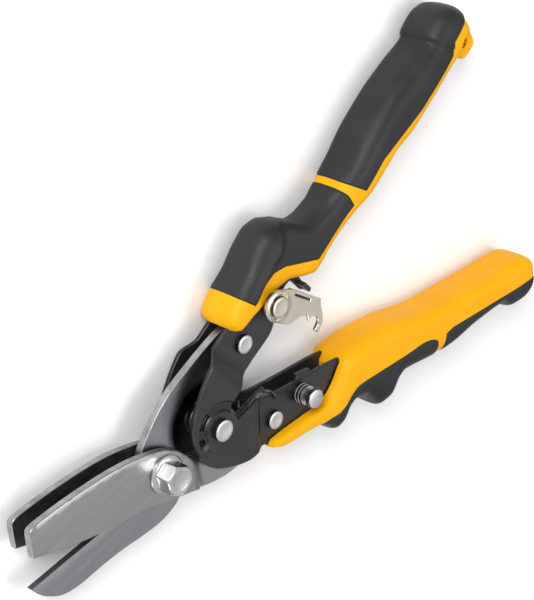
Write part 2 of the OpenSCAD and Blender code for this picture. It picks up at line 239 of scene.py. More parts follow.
def plate(outline, low, high, holes=(), bevel=0.25, step=1.6, edge_step=1.0, creases=(), under=0):
    """A plate between two heights, which may be numbers or functions of the place. Its top is material 0, the
    rounded corners 1, the cut sides 2 and the underside the number given."""
    loops = [turned(dense(outline, edge_step))] + [turned(dense(h, edge_step * 0.6), False) for h in holes]
    inner = [shifted(loop, bevel) for loop in loops]
    flat, tris, place = filled(inner, step, bevel * 0.9, creases)
    rim = np.concatenate(loops)
    lo_of = low if callable(low) else (lambda p: np.full(len(p), float(low)))
    hi_of = high if callable(high) else (lambda p: np.full(len(p), float(high)))
    n = len(flat)
    m = len(rim)
    top, bottom = hi_of(flat), lo_of(flat)
    rim_top, rim_bottom = hi_of(rim), lo_of(rim)
    cut = np.minimum(bevel, (rim_top - rim_bottom) * 0.4)
    verts = ([(*p, z) for p, z in zip(flat, top)] + [(*p, z) for p, z in zip(flat, bottom)]
             + [(*p, z) for p, z in zip(rim, rim_top - cut)]
             + [(*p, z) for p, z in zip(rim, rim_bottom + cut)])
    faces = list(tris) + [(t[0] + n, t[2] + n, t[1] + n) for t in tris]
    mats = [0] * len(tris) + [under] * len(tris)
    start = 0
    for loop in loops:
        for i in range(len(loop)):
            a, b = start + i, start + (i + 1) % len(loop)
            faces += [(place[a], 2 * n + a, 2 * n + b, place[b]),
                      (2 * n + a, 2 * n + m + a, 2 * n + m + b, 2 * n + b),
                      (2 * n + m + a, n + place[a], n + place[b], 2 * n + m + b)]
            mats += [1, 2, 1]
        start += len(loop)
    return verts, faces, mats


def repainted(part, number, new, chosen):
    """The part with material number changed to new on the faces whose middles are chosen."""
    verts, faces, mats = part
    middles = np.array([np.mean([verts[i] for i in face], axis=0) for face in faces])
    hits = chosen(middles)
    return verts, faces, [new if m == number and hit else m for m, hit in zip(mats, hits)]


def lathe(profile, steps=64, centre=(0, 0), side=0):
    """A profile of (radius, height) turned about Z. Steep walls get material side and the rest 0."""
    verts, faces, mats = [], [], []
    rings = []
    for r, z in profile:
        if r <= 0:
            rings.append([len(verts)])
            verts.append((centre[0], centre[1], z))
            continue
        rings.append(list(range(len(verts), len(verts) + steps)))
        for k in range(steps):
            a = 2 * math.pi * k / steps
            verts.append((centre[0] + r * math.cos(a), centre[1] + r * math.sin(a), z))
    for (r0, z0), (r1, z1), a, b in zip(profile, profile[1:], rings, rings[1:]):
        steep = abs(z1 - z0) > abs(r1 - r0)
        for k in range(steps):
            j = (k + 1) % steps
            if len(a) == 1:
                faces.append((a[0], b[k], b[j]))
            elif len(b) == 1:
                faces.append((a[k], b[0], a[j]))
            else:
                faces.append((a[k], b[k], b[j], a[j]))
            mats.append(side if steep else 0)
    return verts, faces, mats


def swept(path, r, sides=14):
    """A round wire along a path, with closed ends."""
    path = np.array(path, float)
    along = np.gradient(path, axis=0)
    along /= np.linalg.norm(along, axis=1)[:, None]
    side = np.cross(along[0], (0, 0, 1.0))
    verts, faces = [], []
    for p, d in zip(path, along):
        side = side - d * (side @ d)
        side /= np.linalg.norm(side)
        up = np.cross(d, side)
        angles = [2 * math.pi * k / sides for k in range(sides)]
        verts += [tuple(p + r * (side * math.cos(a) + up * math.sin(a))) for a in angles]
    for i in range(len(path) - 1):
        for k in range(sides):
            j = (k + 1) % sides
            faces.append((i * sides + k, i * sides + j, (i + 1) * sides + j, (i + 1) * sides + k))
    faces += [tuple(range(sides)), tuple(range(len(verts) - sides, len(verts)))]
    return verts, faces, [0] * len(faces)


def mirrored(part):
    """The mesh's mirror image across the mid-plane."""
    v, f, m = part
    return [(x, y, -z) for x, y, z in v], [face[::-1] for face in f], m


# ---- materials ----

def node(tree, kind, **inputs):
    """A new shader node with its sockets set. An underscore in a name stands for a space."""
    n = tree.nodes.new(kind)
    for key, value in inputs.items():
        n.inputs[key.replace("_", " ")].default_value = value
    return n


def finish_of(name, dark, light, rough, metallic=0.0, grain=(1, 1, 1), scale=90.0, spread=(0.35, 0.65),
              bump=0.0, bump_scale=1400.0, sockets=None, hub_shade=None):
    """A material whose colour and roughness wander over the surface, with a fine grain in its bump. Its last
    argument paints shade round the handle pivot: a dark colour and the two radii, in metres, between which it
    fades."""
    mat = bpy.data.materials.new(name)
    mat.use_nodes = True
    tree = mat.node_tree
    link = tree.links.new
    bsdf = tree.nodes["Principled BSDF"]
    bsdf.inputs["Metallic"].default_value = metallic
    for key, value in (sockets or {}).items():
        bsdf.inputs[key].default_value = value
    place = tree.nodes.new("ShaderNodeTexCoord")
    stretch = node(tree, "ShaderNodeMapping", Scale=grain)
    link(place.outputs["Object"], stretch.inputs["Vector"])
    wander = node(tree, "ShaderNodeTexNoise", Scale=scale, Detail=7.0, Roughness=0.62)
    link(stretch.outputs["Vector"], wander.inputs["Vector"])
    ramp = tree.nodes.new("ShaderNodeValToRGB")
    for k, (at, colour) in enumerate(zip(spread, (dark, light))):
        ramp.color_ramp.elements[k].position = at
        ramp.color_ramp.elements[k].color = (*colour, 1)
    link(wander.outputs["Fac"], ramp.inputs["Fac"])
    # Painted shade: a dark colour mixed in round the handle pivot, fading out between the two radii.
    if hub_shade:
        colour, full, none = hub_shade
        reach = tree.nodes.new("ShaderNodeVectorMath")
        reach.operation = "DISTANCE"
        reach.inputs[1].default_value = hub
        link(place.outputs["Object"], reach.inputs[0])
        fade = node(tree, "ShaderNodeMapRange", From_Min=full, From_Max=none, To_Min=1.0, To_Max=0.0)
        link(reach.outputs["Value"], fade.inputs["Value"])
        mix = tree.nodes.new("ShaderNodeMix")
        mix.data_type = "RGBA"
        link(fade.outputs["Result"], mix.inputs["Factor"])
        link(ramp.outputs["Color"], mix.inputs["A"])
        mix.inputs["B"].default_value = (*colour, 1)
        link(mix.outputs["Result"], bsdf.inputs["Base Color"])
    else:
        link(ramp.outputs["Color"], bsdf.inputs["Base Color"])
    fine = node(tree, "ShaderNodeTexNoise", Scale=scale * 4, Detail=5.0, Roughness=0.6)
    link(stretch.outputs["Vector"], fine.inputs["Vector"])
    spread_rough = node(tree, "ShaderNodeMapRange", From_Min=0.3, From_Max=0.7, To_Min=rough[0],
                        To_Max=rough[1])
    link(fine.outputs["Fac"], spread_rough.inputs["Value"])
    link(spread_rough.outputs["Result"], bsdf.inputs["Roughness"])
    if bump:
        grit = node(tree, "ShaderNodeTexNoise", Scale=bump_scale, Detail=4.0, Roughness=0.55)
        link(stretch.outputs["Vector"], grit.inputs["Vector"])
        relief = node(tree, "ShaderNodeBump", Strength=bump, Distance=0.0002)
        link(grit.outputs["Fac"], relief.inputs["Height"])
        link(relief.outputs["Normal"], bsdf.inputs["Normal"])
    return mat


ALONG_BLADE = (0.05, 1.0, 1.0)
# Painted shade: the centre blade goes near black round the handle pivot, where it lies in the shade of the
# gap under the cheeks.
PAINTED_HUB_SHADE = ((0.006, 0.006, 0.0065), 0.0165, 0.0200)
fork_steel = finish_of("fork_steel", (0.27, 0.275, 0.265), (0.34, 0.345, 0.33), (0.36, 0.46), 1.0,
                       ALONG_BLADE, 420.0, (0.2, 0.8), 0.12, 3000.0)
centre_steel = finish_of("centre_steel", (0.24, 0.25, 0.265), (0.30, 0.31, 0.325), (0.34, 0.44), 1.0,
                         ALONG_BLADE, 420.0, (0.2, 0.8), 0.12, 3000.0, hub_shade=PAINTED_HUB_SHADE)
cut_edge = finish_of("cut_edge", (0.26, 0.26, 0.255), (0.44, 0.44, 0.43), (0.30, 0.50), 1.0, scale=160.0,
                     bump=0.15)
ground_edge = finish_of("ground_edge", (0.09, 0.09, 0.095), (0.16, 0.16, 0.165), (0.32, 0.45), 1.0,
                        (0.1, 1, 1), 600.0, bump=0.2)
# Painted shade: near-black steel for the fork plates' undersides, which lie in shade facing the centre blade.
fork_underside_shade = finish_of("fork_underside_shade", (0.015, 0.015, 0.016), (0.04, 0.04, 0.042), (0.4, 0.55), 0.5,
                       scale=200.0, bump=0.1)
zinc = finish_of("zinc_plate", (0.62, 0.63, 0.64), (0.72, 0.72, 0.71), (0.20, 0.28), 1.0, scale=160.0,
                 spread=(0.2, 0.8), bump=0.05)
rivet_face = finish_of("rivet_face", (0.60, 0.60, 0.59), (0.78, 0.77, 0.74), (0.28, 0.38), 1.0, scale=300.0,
                       bump=0.1)
# Painted reflection and shade: the rivet heads' side walls are near black for the dark cheeks they mirror and
# the shade beside them; the pivot washers between the plates take it for the shade there.
shade_black = finish_of("shade_black", (0.004, 0.004, 0.0045), (0.013, 0.012, 0.011), (0.35, 0.5), 0.2,
                       scale=300.0, bump=0.1)
# Painted reflection: the stud's walls are dark for the black cheek they mirror.
stud_dark_reflection = finish_of("stud_dark_reflection", (0.03, 0.031, 0.033), (0.10, 0.10, 0.105), (0.25, 0.35), 0.9,
                       scale=120.0, bump=0.05)
# Painted shade: the return spring, and the pivot bush and blade spacers inside the frame, are darkened for
# the shade between the plates.
spring_steel = finish_of("spring_steel", (0.03, 0.03, 0.03), (0.09, 0.085, 0.08), (0.3, 0.45), 0.8,
                         scale=500.0, bump=0.15)
nickel = finish_of("latch_nickel", (0.66, 0.615, 0.51), (0.72, 0.675, 0.57), (0.30, 0.34), 1.0, scale=60.0,
                   spread=(0.2, 0.8))
nickel_worn = finish_of("latch_worn", (0.70, 0.68, 0.62), (0.80, 0.78, 0.73), (0.26, 0.32), 1.0, scale=80.0)
frame_black = finish_of("frame_black", (0.008, 0.010, 0.012), (0.014, 0.0165, 0.0195), (0.32, 0.42), 0.0,
                        scale=120.0, bump=0.15, bump_scale=2200.0, sockets={"Specular IOR Level": 0.5})
# The cheeks' rounded edges are lighter and more metallic: partly edge wear, partly a painted highlight along
# them.
frame_edge_wear_and_highlight = finish_of("frame_edge_wear_and_highlight", (0.02, 0.021, 0.022), (0.11, 0.10, 0.09), (0.32, 0.42), 0.3, scale=240.0,
                       spread=(0.5, 0.8), bump=0.12)
frame_side = finish_of("frame_side", (0.005, 0.0055, 0.006), (0.018, 0.017, 0.016), (0.35, 0.5), 0.1,
                       scale=200.0, bump=0.15)
# Painted shade: near black for the deep shade in the pressed channel round the handle pivot and in the
# latch's relief slot.
frame_recess_shade = finish_of("frame_recess_shade", (0.002, 0.002, 0.0025), (0.005, 0.005, 0.006), (0.5, 0.65), 0.0,
                       scale=200.0, bump=0.1)
yellow = finish_of("yellow_plastic", (0.76, 0.350, 0.003), (0.81, 0.378, 0.004), (0.38, 0.48), 0.0,
                   scale=60.0, bump=0.14, bump_scale=2600.0, sockets={"Specular IOR Level": 0.12})
rubber = finish_of("black_rubber", (0.009, 0.0105, 0.011), (0.015, 0.0175, 0.018), (0.44, 0.58), 0.0,
                   scale=70.0, bump=0.4, bump_scale=2400.0, sockets={"Specular IOR Level": 0.36})

FRAME_SET = (frame_black, frame_edge_wear_and_highlight, frame_side, frame_recess_shade)
FORK_SET = (fork_steel, fork_steel, cut_edge, fork_underside_shade)
CENTRE_SET = (centre_steel, centre_steel, cut_edge, ground_edge)


# ---- placing ----

def piece(name, part, matrix, body, nodes, materials, sharp=34.0):
    """Makes an object of the mesh, in place of its CAD nodes and riding on its body."""
    verts, faces, mats = part
    mesh = bpy.data.meshes.new(name)
    mesh.from_pydata([matrix @ Vector(v) for v in verts], [], faces)
    for mat in materials:
        mesh.materials.append(mat)
    for polygon, number in zip(mesh.polygons, mats):
        polygon.material_index = min(number, len(materials) - 1)
    bm = bmesh.new()
    bm.from_mesh(mesh)
    bmesh.ops.recalc_face_normals(bm, faces=bm.faces)
    soften(bm, sharp)
    bm.to_mesh(mesh)
    bm.free()
    obj = bpy.data.objects.new(name, mesh)
    bpy.context.scene.collection.objects.link(obj)
    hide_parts(*nodes)
    if body:
        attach(obj, body)
    return obj


def soften(bm, sharp):
    """Smooth shading, broken at the edges that turn more than sharp degrees."""
    for face in bm.faces:
        face.smooth = True
    for edge in bm.edges:
        edge.smooth = not (len(edge.link_faces) == 2 and math.degrees(edge.calc_face_angle(0.0)) > sharp)


# ---- blades ----

FORK_GAP, FORK_TOP, TAIL_Z, CENTRE_HALF = 3.4, 6.5, 0.3, 1.6
TAIL_BOSS_R = 8.6
FORK_BEND = (37.9, 42.6)
fork_outline = rounded([(80.8, -26.5), (84.2, -26.5), (85.6, -25.1), (88.2, -15.6), (69.8, -5.4),
                        (60, -1.2), (37.4, 6.8), (25.6, 13.7), (16.4, 18.2), (13.6, 21.5), (6.4, 24.6),
                        (-0.4, 26.6), (-14, 27.8)] + arc(FORK_RIVET, TAIL_BOSS_R, 90, 270, 16)
                       + [(-10, 11.6), (3, 11.6), (9, 10), (13.8, 6.6), (16.6, -1.6), (21.3, -7.8),
                          (28.2, -12.4), (42.6, -18.9), (65.4, -24.2)], keep=60)
fork_axis = math.radians(-12.6)
fork_back = [(13.8, 6.6), (16.6, -1.6), (21.3, -7.8), (28.2, -12.4), (42.6, -18.9), (65.4, -24.2),
             (80.8, -26.5)]
BACK_BEVEL, BACK_DROP = 1.0, 0.35


def fork_step(p):
    """0 at the tail and 1 beyond the bend."""
    d = (p[:, 0] - FORK_RIVET[0]) * math.cos(fork_axis) + (p[:, 1] - FORK_RIVET[1]) * math.sin(fork_axis)
    return ease(d, *FORK_BEND)


def fork_low(p):
    return TAIL_Z + (FORK_GAP - TAIL_Z) * fork_step(p)


def fork_high(p):
    worn = np.clip(1 - distance(p, back_line, closed=False) / BACK_BEVEL, 0, 1)
    return fork_low(p) + FORK_TOP - FORK_GAP - BACK_DROP * worn


def line_shifted(line, by):
    """An open line moved to its left."""
    line = np.array(line, float)
    along = np.gradient(line, axis=0)
    along /= np.linalg.norm(along, axis=1)[:, None]
    return line + by * np.stack([-along[:, 1], along[:, 0]], 1)


back_line = dense(fork_back, 1.0, closed=False)
# under=3 gives the fork plates' undersides the painted shade.
fork_part = plate(fork_outline, fork_low, fork_high, bevel=0.22,
                  creases=[line_shifted(back_line, BACK_BEVEL)], under=3)
piece("fork_blade_near_steel", fork_part, PLAN, "fork_jaw", ["fork_blade_near"], FORK_SET)
piece("fork_blade_far_steel", fork_part, PLAN @ FAR, "fork_jaw", ["fork_blade_far"], FORK_SET)

centre_outline = rounded([(92.3, -0.4), (90.3, 5), (85.2, 10.8), (81.2, 13.1), (75.3, 14.8), (65.1, 15.5),
                          (54.4, 17), (44, 19.5), (34.5, 21.1), (28.7, 20.5), (24.2, 19.4), (19.5, 14),
                          (17.5, 8), (15, 0.5), (10.5, -8.5), (3, -11.4), (-5, -11)]
                         + arc(CENTRE_RIVET, TAIL_BOSS_R, 75, 270, 16)
                         + [(-17, -28.5), (1, -25.5), (13.5, -22.5), (28, -14), (33, -8.5), (36.5, -3),
                            (38, 4.9), (58.9, 2.9)])
cutting_line = dense([(38, 4.9), (58.9, 2.9), (92.3, -0.4)], 1.0, closed=False)
CUT_BEVEL, CUT_DROP = 2.2, 0.15


def centre_high(p):
    worn = np.clip(1 - distance(p, cutting_line, closed=False) / CUT_BEVEL, 0, 1)
    return CENTRE_HALF - CUT_DROP * worn


def centre_low(p):
    return -centre_high(p)


centre_part = plate(centre_outline, centre_low, centre_high, bevel=0.18,
                    creases=[line_shifted(cutting_line, CUT_BEVEL)])
centre_part = repainted(centre_part, 2, 3, lambda p: distance(p[:, :2], cutting_line, closed=False) < 1.0)
piece("centre_blade_steel", centre_part, PLAN, "centre_jaw", ["centre_blade"], CENTRE_SET)


# ---- frame cheeks ----

CHEEK_T, WIDE_Z, LOBE_Z, CHEEK_Z = 1.8, 8.0, 5.3, 3.7
CHEEK_TOP, DISC_TOP = CHEEK_Z + CHEEK_T, WIDE_Z + CHEEK_T
DISC_R, LOBE_R = 8.7, 7.4
UPPER_BEND, LOWER_BEND = (15.4, 24.0), (21.0, 25.0)
CHANNEL, CHANNEL_END, CHANNEL_DROP = (7.3, 10.8), 165, 0.8
upper_outline = rounded([(-13, 1), (-12.7, 4.2), (-11, 8.4), (-7.4, 13), (-3.3, 15.6), (4, 18.5),
                         (11, 20.5), (17, 21.5), (27, 21), (60, 18.5), (66, 11), (95, 5), (95, 2),
                         (66, 2.5), (58, 5.5), (51, 3.5), (45, -0.6), (40.3, -1.8), (29.8, -0.4),
                         (23.2, -0.2), (18, 0.9), (15, 1.5), (10.3, 1.3)]
                        + arc((0, 0), DISC_R, 0, -182, 26))


def upper_low(p):
    return CHEEK_Z + (WIDE_Z - CHEEK_Z) * (1 - ease(p[:, 0], *UPPER_BEND))


def upper_high(p):
    r = np.hypot(p[:, 0], p[:, 1])
    a = np.degrees(np.arctan2(p[:, 1], p[:, 0])) % 360
    bend = ease(r, CHANNEL[0] - 0.4, CHANNEL[0] + 0.2) * (1 - ease(r, CHANNEL[1] - 0.3, CHANNEL[1] + 0.5))
    span = ease(a, -4, 3) * (1 - ease(a, CHANNEL_END - 4, CHANNEL_END + 3))
    return upper_low(p) + CHEEK_T - CHANNEL_DROP * bend * span


def ring_hole(r0, r1, a0, a1):
    """The outline of a slot that follows a circle about the handle pivot."""
    return arc((0, 0), r1, a0, a1, 12) + arc((0, 0), r0, a1, a0, 10)


slots = [ring_hole(7.7, 10.2, 82, 122), ring_hole(7.7, 10.2, 146, 163)]
rings = [arc((0, 0), r, 2, 160, 60) for r in (6.9, 7.5, 10.5, 11.3)]
upper_far_part = plate(upper_outline, upper_low, upper_high, holes=slots, bevel=0.3, creases=rings)


def in_channel(p):
    """The pressed channel round the handle pivot, with its two rims."""
    r, a = np.hypot(p[:, 0], p[:, 1]), np.degrees(np.arctan2(p[:, 1], p[:, 0]))
    return (r > CHANNEL[0] - 0.3) & (r < CHANNEL[1] + 0.4) & (a > 0) & (a < CHANNEL_END)


# Painted shade: the channel's faces take the near-black recess shade.
upper_far_part = repainted(upper_far_part, 0, 3, in_channel)
ear = plate([(62, 6), (62, -4), (64.5, -3.5), (66, 6)], CHEEK_Z, CHEEK_TOP, bevel=0.2)
upturned = plate([(62.4, 1), (62.4, -4), (64, -3.5), (64, 1)], CHEEK_TOP - 0.4, DISC_TOP, bevel=0.2)
piece("upper_cheek_near_black", joined(upper_far_part, ear, upturned), UPPER, "upper_handle",
      ["upper_cheek_near"], FRAME_SET)
piece("upper_cheek_far_black", upper_far_part, UPPER @ FAR, "upper_handle", ["upper_cheek_far"],
      FRAME_SET)

lower_outline = rounded([(-8.9, 9), (-8.7, 11.6), (-1, 18), (8.6, 20.5), (16.5, 21.3), (20.8, 20.3),
                         (24.4, 18.2), (58, 17.4), (66, 9), (95, 8), (95, -2.5), (66, -3.5), (54, -2.9),
                         (43.5, -1.9), (25.2, -1), (21.9, -3.2), (20.3, -2.2), (12, 1.2)]
                        + arc((0, 0), LOBE_R, -17, -196, 24))


def lower_low(p):
    return CHEEK_Z + (LOBE_Z - CHEEK_Z) * (1 - ease(p[:, 0], *LOWER_BEND))


def lower_high(p):
    return lower_low(p) + CHEEK_T


TAB_Z = 3
lower_slot = [(22.6, 2), (24, 2), (24, 13), (22.6, 13)]
lower_part = plate(lower_outline, lower_low, lower_high, holes=[lower_slot], bevel=0.3)
tab_top = plate([(44.5, -4.5), (52, -4.5), (53, -2), (43.5, -1)], CHEEK_Z, CHEEK_TOP, bevel=0.35)
tab_fold = plate([(44.5, -4.5), (52, -4.5), (52, -3), (44.5, -3)], TAB_Z, CHEEK_Z + 0.6, bevel=0.3)
piece("lower_cheek_near_black", joined(lower_part, tab_top, tab_fold), LOWER, "lower_handle",
      ["lower_cheek_near"], FRAME_SET)
piece("lower_cheek_far_black", lower_part, LOWER @ FAR, "lower_handle", ["lower_cheek_far"],
      FRAME_SET)


# ---- bolts, rivets and spring ----

HEX_FLAT, HEX_CORNER, HEX_BASE, CHAMFER_R, CHAMFER_SLOPE = 5.5, 1.135, 7.5, 5.4, 0.62
BOLT_R, BOLT_TOP, BOLT_TURN, BOLT_DISH = 3.5, 14.5, 20, 0.12
NUT_TOP, NUT_TURN, NUT_DISH = 11.0, 8, 0.6
FLANGE_R, FLANGE_TOP = 7.8, 8.0


def hexagon(turn):
    """The radius of a hexagon with slightly rounded corners, in each direction."""
    def radius(a):
        beyond = (a - math.radians(turn)) % (math.pi / 3) - math.pi / 6
        return min(HEX_FLAT / math.cos(beyond), HEX_FLAT * HEX_CORNER)
    return radius


def flange(r, top):
    """The round flange under the bolt's head or the nut."""
    return lathe([(0, FORK_TOP), (r - 0.2, FORK_TOP), (r, FORK_TOP + 0.15), (r, top - 0.75),
                  (r - 0.25, top - 0.5), (r - 1.9, top), (0, top)], centre=BLADE_PIVOT)


def hex_head(base, top, turn, dish):
    """Chamfered hexagon: the corners are cut by a cone, and the middle of the top is dished."""
    limit = hexagon(turn)
    steps = 120
    verts, faces = [], []

    def fall(r):
        return CHAMFER_SLOPE * max(0.0, r - CHAMFER_R)

    levels = [lambda r: (r, base), lambda r: (r, top - 0.2 - fall(r)),
              lambda r: (r - 0.12, top - 0.05 - fall(r)), lambda r: (CHAMFER_R - 0.15, top),
              lambda r: (4.2, top), lambda r: (3.8, top - dish * 0.3), lambda r: (3.4, top - dish)]
    for level in levels:
        for k in range(steps):
            a = 2 * math.pi * k / steps
            r, z = level(limit(a))
            verts.append((BLADE_PIVOT[0] + r * math.cos(a), BLADE_PIVOT[1] + r * math.sin(a), z))
    for row in range(len(levels) - 1):
        for k in range(steps):
            j = (k + 1) % steps
            faces.append((row * steps + k, row * steps + j, (row + 1) * steps + j, (row + 1) * steps + k))
    faces += [tuple(range(steps)), tuple(range(len(verts) - steps, len(verts)))]
    return verts, faces, [0] * len(faces)


shank = lathe([(0, -8), (BOLT_R, -8), (BOLT_R, 9), (0, 9)], centre=BLADE_PIVOT)
under_head = flange(FLANGE_R, FLANGE_TOP)
bolt_head = hex_head(HEX_BASE, BOLT_TOP, BOLT_TURN, BOLT_DISH)
nut_hexagon = hex_head(HEX_BASE, NUT_TOP, NUT_TURN, NUT_DISH)
piece("blade_bolt_zinc", joined(shank, under_head, bolt_head), PLAN, "fork_jaw", ["blade_pivot_bolt"],
      (zinc,), sharp=30.0)
piece("blade_nut_zinc", mirrored(joined(under_head, nut_hexagon)), PLAN, "fork_jaw", ["blade_pivot_nut"],
      (zinc,), sharp=30.0)


def head(r, z0, z1, centre=(0, 0)):
    """A flat rivet head with a rounded rim and a faint hollow in its face."""
    return lathe([(0, z0), (r - 0.2, z0), (r, z0 + 0.2), (r, z1 - 0.6), (r - 0.1, z1 - 0.28),
                  (r - 0.3, z1 - 0.1), (r - 0.6, z1), (r - 1.4, z1 - 0.03), (r * 0.4, z1 - 0.08),
                  (0, z1 - 0.1)], centre=centre, side=1)


RIVET_R = 3
PIVOT_HEAD_R, PIVOT_HEAD_TOP, PIVOT_HEAD_BOTTOM = 4.4, 12, 11
TAIL_HEAD_R, TAIL_HEAD_TOP = 3.75, 7.4


def rivet(name, r, z, top, bottom, centre, body, cad):
    """A rivet with a head on each side, each standing on the level z."""
    shaft = lathe([(0, -z - 0.2), (RIVET_R, -z - 0.2), (RIVET_R, z + 0.2), (0, z + 0.2)], centre=centre,
                  side=1)
    part = joined(head(r, z, top, centre), mirrored(head(r, z, bottom, centre)), shaft)
    piece(name, part, PLAN, body, [cad], (rivet_face, shade_black), sharp=30.0)


rivet("handle_rivet_steel", PIVOT_HEAD_R, DISC_TOP, PIVOT_HEAD_TOP, PIVOT_HEAD_BOTTOM, (0, 0), "lower_handle",
      "handle_pivot_rivet")
rivet("centre_rivet_steel", TAIL_HEAD_R, CHEEK_TOP, TAIL_HEAD_TOP, TAIL_HEAD_TOP, CENTRE_RIVET,
      "upper_handle", "centre_blade_rivet")
rivet("fork_rivet_steel", TAIL_HEAD_R, CHEEK_TOP, TAIL_HEAD_TOP, TAIL_HEAD_TOP, FORK_RIVET, "lower_handle",
      "fork_blade_rivet")

STUD_R, GROOVE_R, NECK_R, FOOT_R, STUD_SHANK_R = 4.1, 3.85, 2.4, 3.6, 2.8
GROOVES = (6.9, 8.5)
stud_profile = [(0, 2.4), (FOOT_R, 2.4), (FOOT_R, CHEEK_Z), (STUD_SHANK_R, 3.8), (STUD_SHANK_R, 5.4),
                (STUD_R, 5.6)]
for z in GROOVES:
    stud_profile += [(STUD_R, z), (GROOVE_R, z + 0.15), (GROOVE_R, z + 0.4), (STUD_R, z + 0.55)]
stud_profile += [(STUD_R, 9.7), (3.9, 9.9), (NECK_R, 10.3), (NECK_R, 12.3), (3.9, 12.5), (STUD_R, 12.7),
                 (STUD_R, 13.9), (4.0, 14.2), (3.8, 14.4), (3.5, 14.5), (0, 14.47)]
piece("latch_stud_steel", lathe(stud_profile, centre=STUD, side=1), LOWER, "lower_handle", ["latch_stud"],
      (rivet_face, stud_dark_reflection), sharp=30.0)

WIRE_R, COIL_R, COIL_H, TURNS, LEG_TURN, COIL_STEPS = 0.7, 5.4, 8.4, 3, 89, 200
sweep = 2 * LEG_TURN + 360 * TURNS
leg = [(32, 0.5, 6.4), (31.2, -1.8, 6.3), (30.4, -2.6, 4.5), (28.5, -3, 2.9), (26, -3.6, 2.9)]
ca, sa = math.cos(HANDLE_ANGLE), math.sin(HANDLE_ANGLE)
leg_plan = [(-ca * s + sa * t, sa * s + ca * t, z) for s, t, z in leg]
coil_plan = arc((0, 0), COIL_R, LEG_TURN, LEG_TURN - sweep, COIL_STEPS)
coil = [(x, y, COIL_H * (0.5 - i / COIL_STEPS)) for i, (x, y) in enumerate(coil_plan)]
far_leg = [(x, -y, -z) for x, y, z in reversed(leg_plan)]


def smooth_path(points, per=6):
    """A smooth curve through the points, with per steps between two of them."""
    p = np.array([points[0]] + list(points) + [points[-1]], float)
    out = []
    for i in range(1, len(p) - 2):
        for q in np.linspace(0, 1, per, endpoint=False):
            out.append(0.5 * (2 * p[i] + (p[i + 1] - p[i - 1]) * q
                              + (2 * p[i - 1] - 5 * p[i] + 4 * p[i + 1] - p[i + 2]) * q * q
                              + (3 * p[i] - p[i - 1] - 3 * p[i + 1] + p[i + 2]) * q ** 3))
    out.append(p[-2])
    return out


spring = piece("return_spring_wire", swept(smooth_path(leg_plan + coil[:1]) + coil[1:-1]
                                           + smooth_path(coil[-1:] + far_leg), WIRE_R), PLAN, None,
               ["return_spring"], (spring_steel,), sharp=60.0)
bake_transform(spring)


# ---- latch ----

LATCH_Z, LATCH_T, SEAT, HOOK_R, SLOT_HALF = 10.6, 1.4, -78.4, 22.2, 2.75
EYE_R, EYE_START, EYE_END, HOOK_WALL, WEB_LOW = 6.3, 215, 20, 2.4, 8.4
LATCH_FOOT_R, LATCH_SHANK_R, LATCH_HEAD_R, LATCH_HEAD_TOP = 3.6, 2.6, 4.3, 13.6
hook_middle = (LATCH_EYE[0] + HOOK_R * math.cos(math.radians(SEAT)),
               LATCH_EYE[1] + HOOK_R * math.sin(math.radians(SEAT)))
latch_outline = rounded(arc(LATCH_EYE, EYE_R, EYE_START, EYE_END, 28)
                        + [(57.4, 9), (58.4, 6.5), (62.9, -9), (61.2, -10.5), (59.3, -13.8)]
                        + arc(LATCH_EYE, HOOK_R + SLOT_HALF + HOOK_WALL, SEAT + 5, SEAT - 5.6, 6)
                        + arc(LATCH_EYE, HOOK_R + SLOT_HALF, SEAT - 5.2, SEAT, 4)
                        + arc(hook_middle, SLOT_HALF, SEAT, SEAT + 180, 10)
                        + [(54.5, -7), (52, -3.5), (47, -1.5)], keep=60)


def latch_high(p):
    """The plate's top, with a raised ring round its eye."""
    r = np.hypot(p[:, 0] - LATCH_EYE[0], p[:, 1] - LATCH_EYE[1])
    return LATCH_Z + LATCH_T + 0.35 * ease(r, 4.8, 5.1) * (1 - ease(r, 5.7, 6.1))


relief_slot = [(56.6, 5), (57.4, 5.2), (60, -4), (59.2, -4.2)]
latch_rings = [arc(LATCH_EYE, r, EYE_START, EYE_END, 60) for r in (4.7, 5.0, 5.95)]
latch_part = plate(latch_outline, LATCH_Z, latch_high, holes=[relief_slot], bevel=0.2, step=1.2,
                   edge_step=0.7, creases=latch_rings)
web = plate([(57.6, 6.5), (58.4, 6.5), (61.6, -4.5), (60.2, -4.5)], WEB_LOW, LATCH_Z + 0.3, bevel=0.2)
# Painted shade: a near-black sheet under the latch's relief slot stands for the shade in it.
slot_shade_sheet = plate([(56.2, 5.2), (57.8, 5.4), (60.3, -4), (58.9, -4.4)], LATCH_Z - 0.3, LATCH_Z + 0.35,
                   bevel=0.1)
slot_shade_sheet = repainted(slot_shade_sheet, 0, 3, lambda p: p[:, 2] > 0)
piece("latch_hook_nickel", joined(latch_part, web, slot_shade_sheet), UPPER, "latch", ["latch_plate"],
      (nickel, nickel_worn, nickel_worn, frame_recess_shade))
latch_shank = lathe([(0, 2.3), (LATCH_FOOT_R, 2.3), (LATCH_FOOT_R, CHEEK_Z), (LATCH_SHANK_R, CHEEK_Z),
                     (LATCH_SHANK_R, 12.2), (0, 12.2)], centre=LATCH_EYE, side=1)
latch_head = head(LATCH_HEAD_R, LATCH_Z + LATCH_T, LATCH_HEAD_TOP, LATCH_EYE)
piece("latch_rivet_nickel", joined(latch_head, latch_shank), UPPER, "upper_handle", ["latch_rivet"],
      (nickel, shade_black), sharp=30.0)


# ---- handles ----

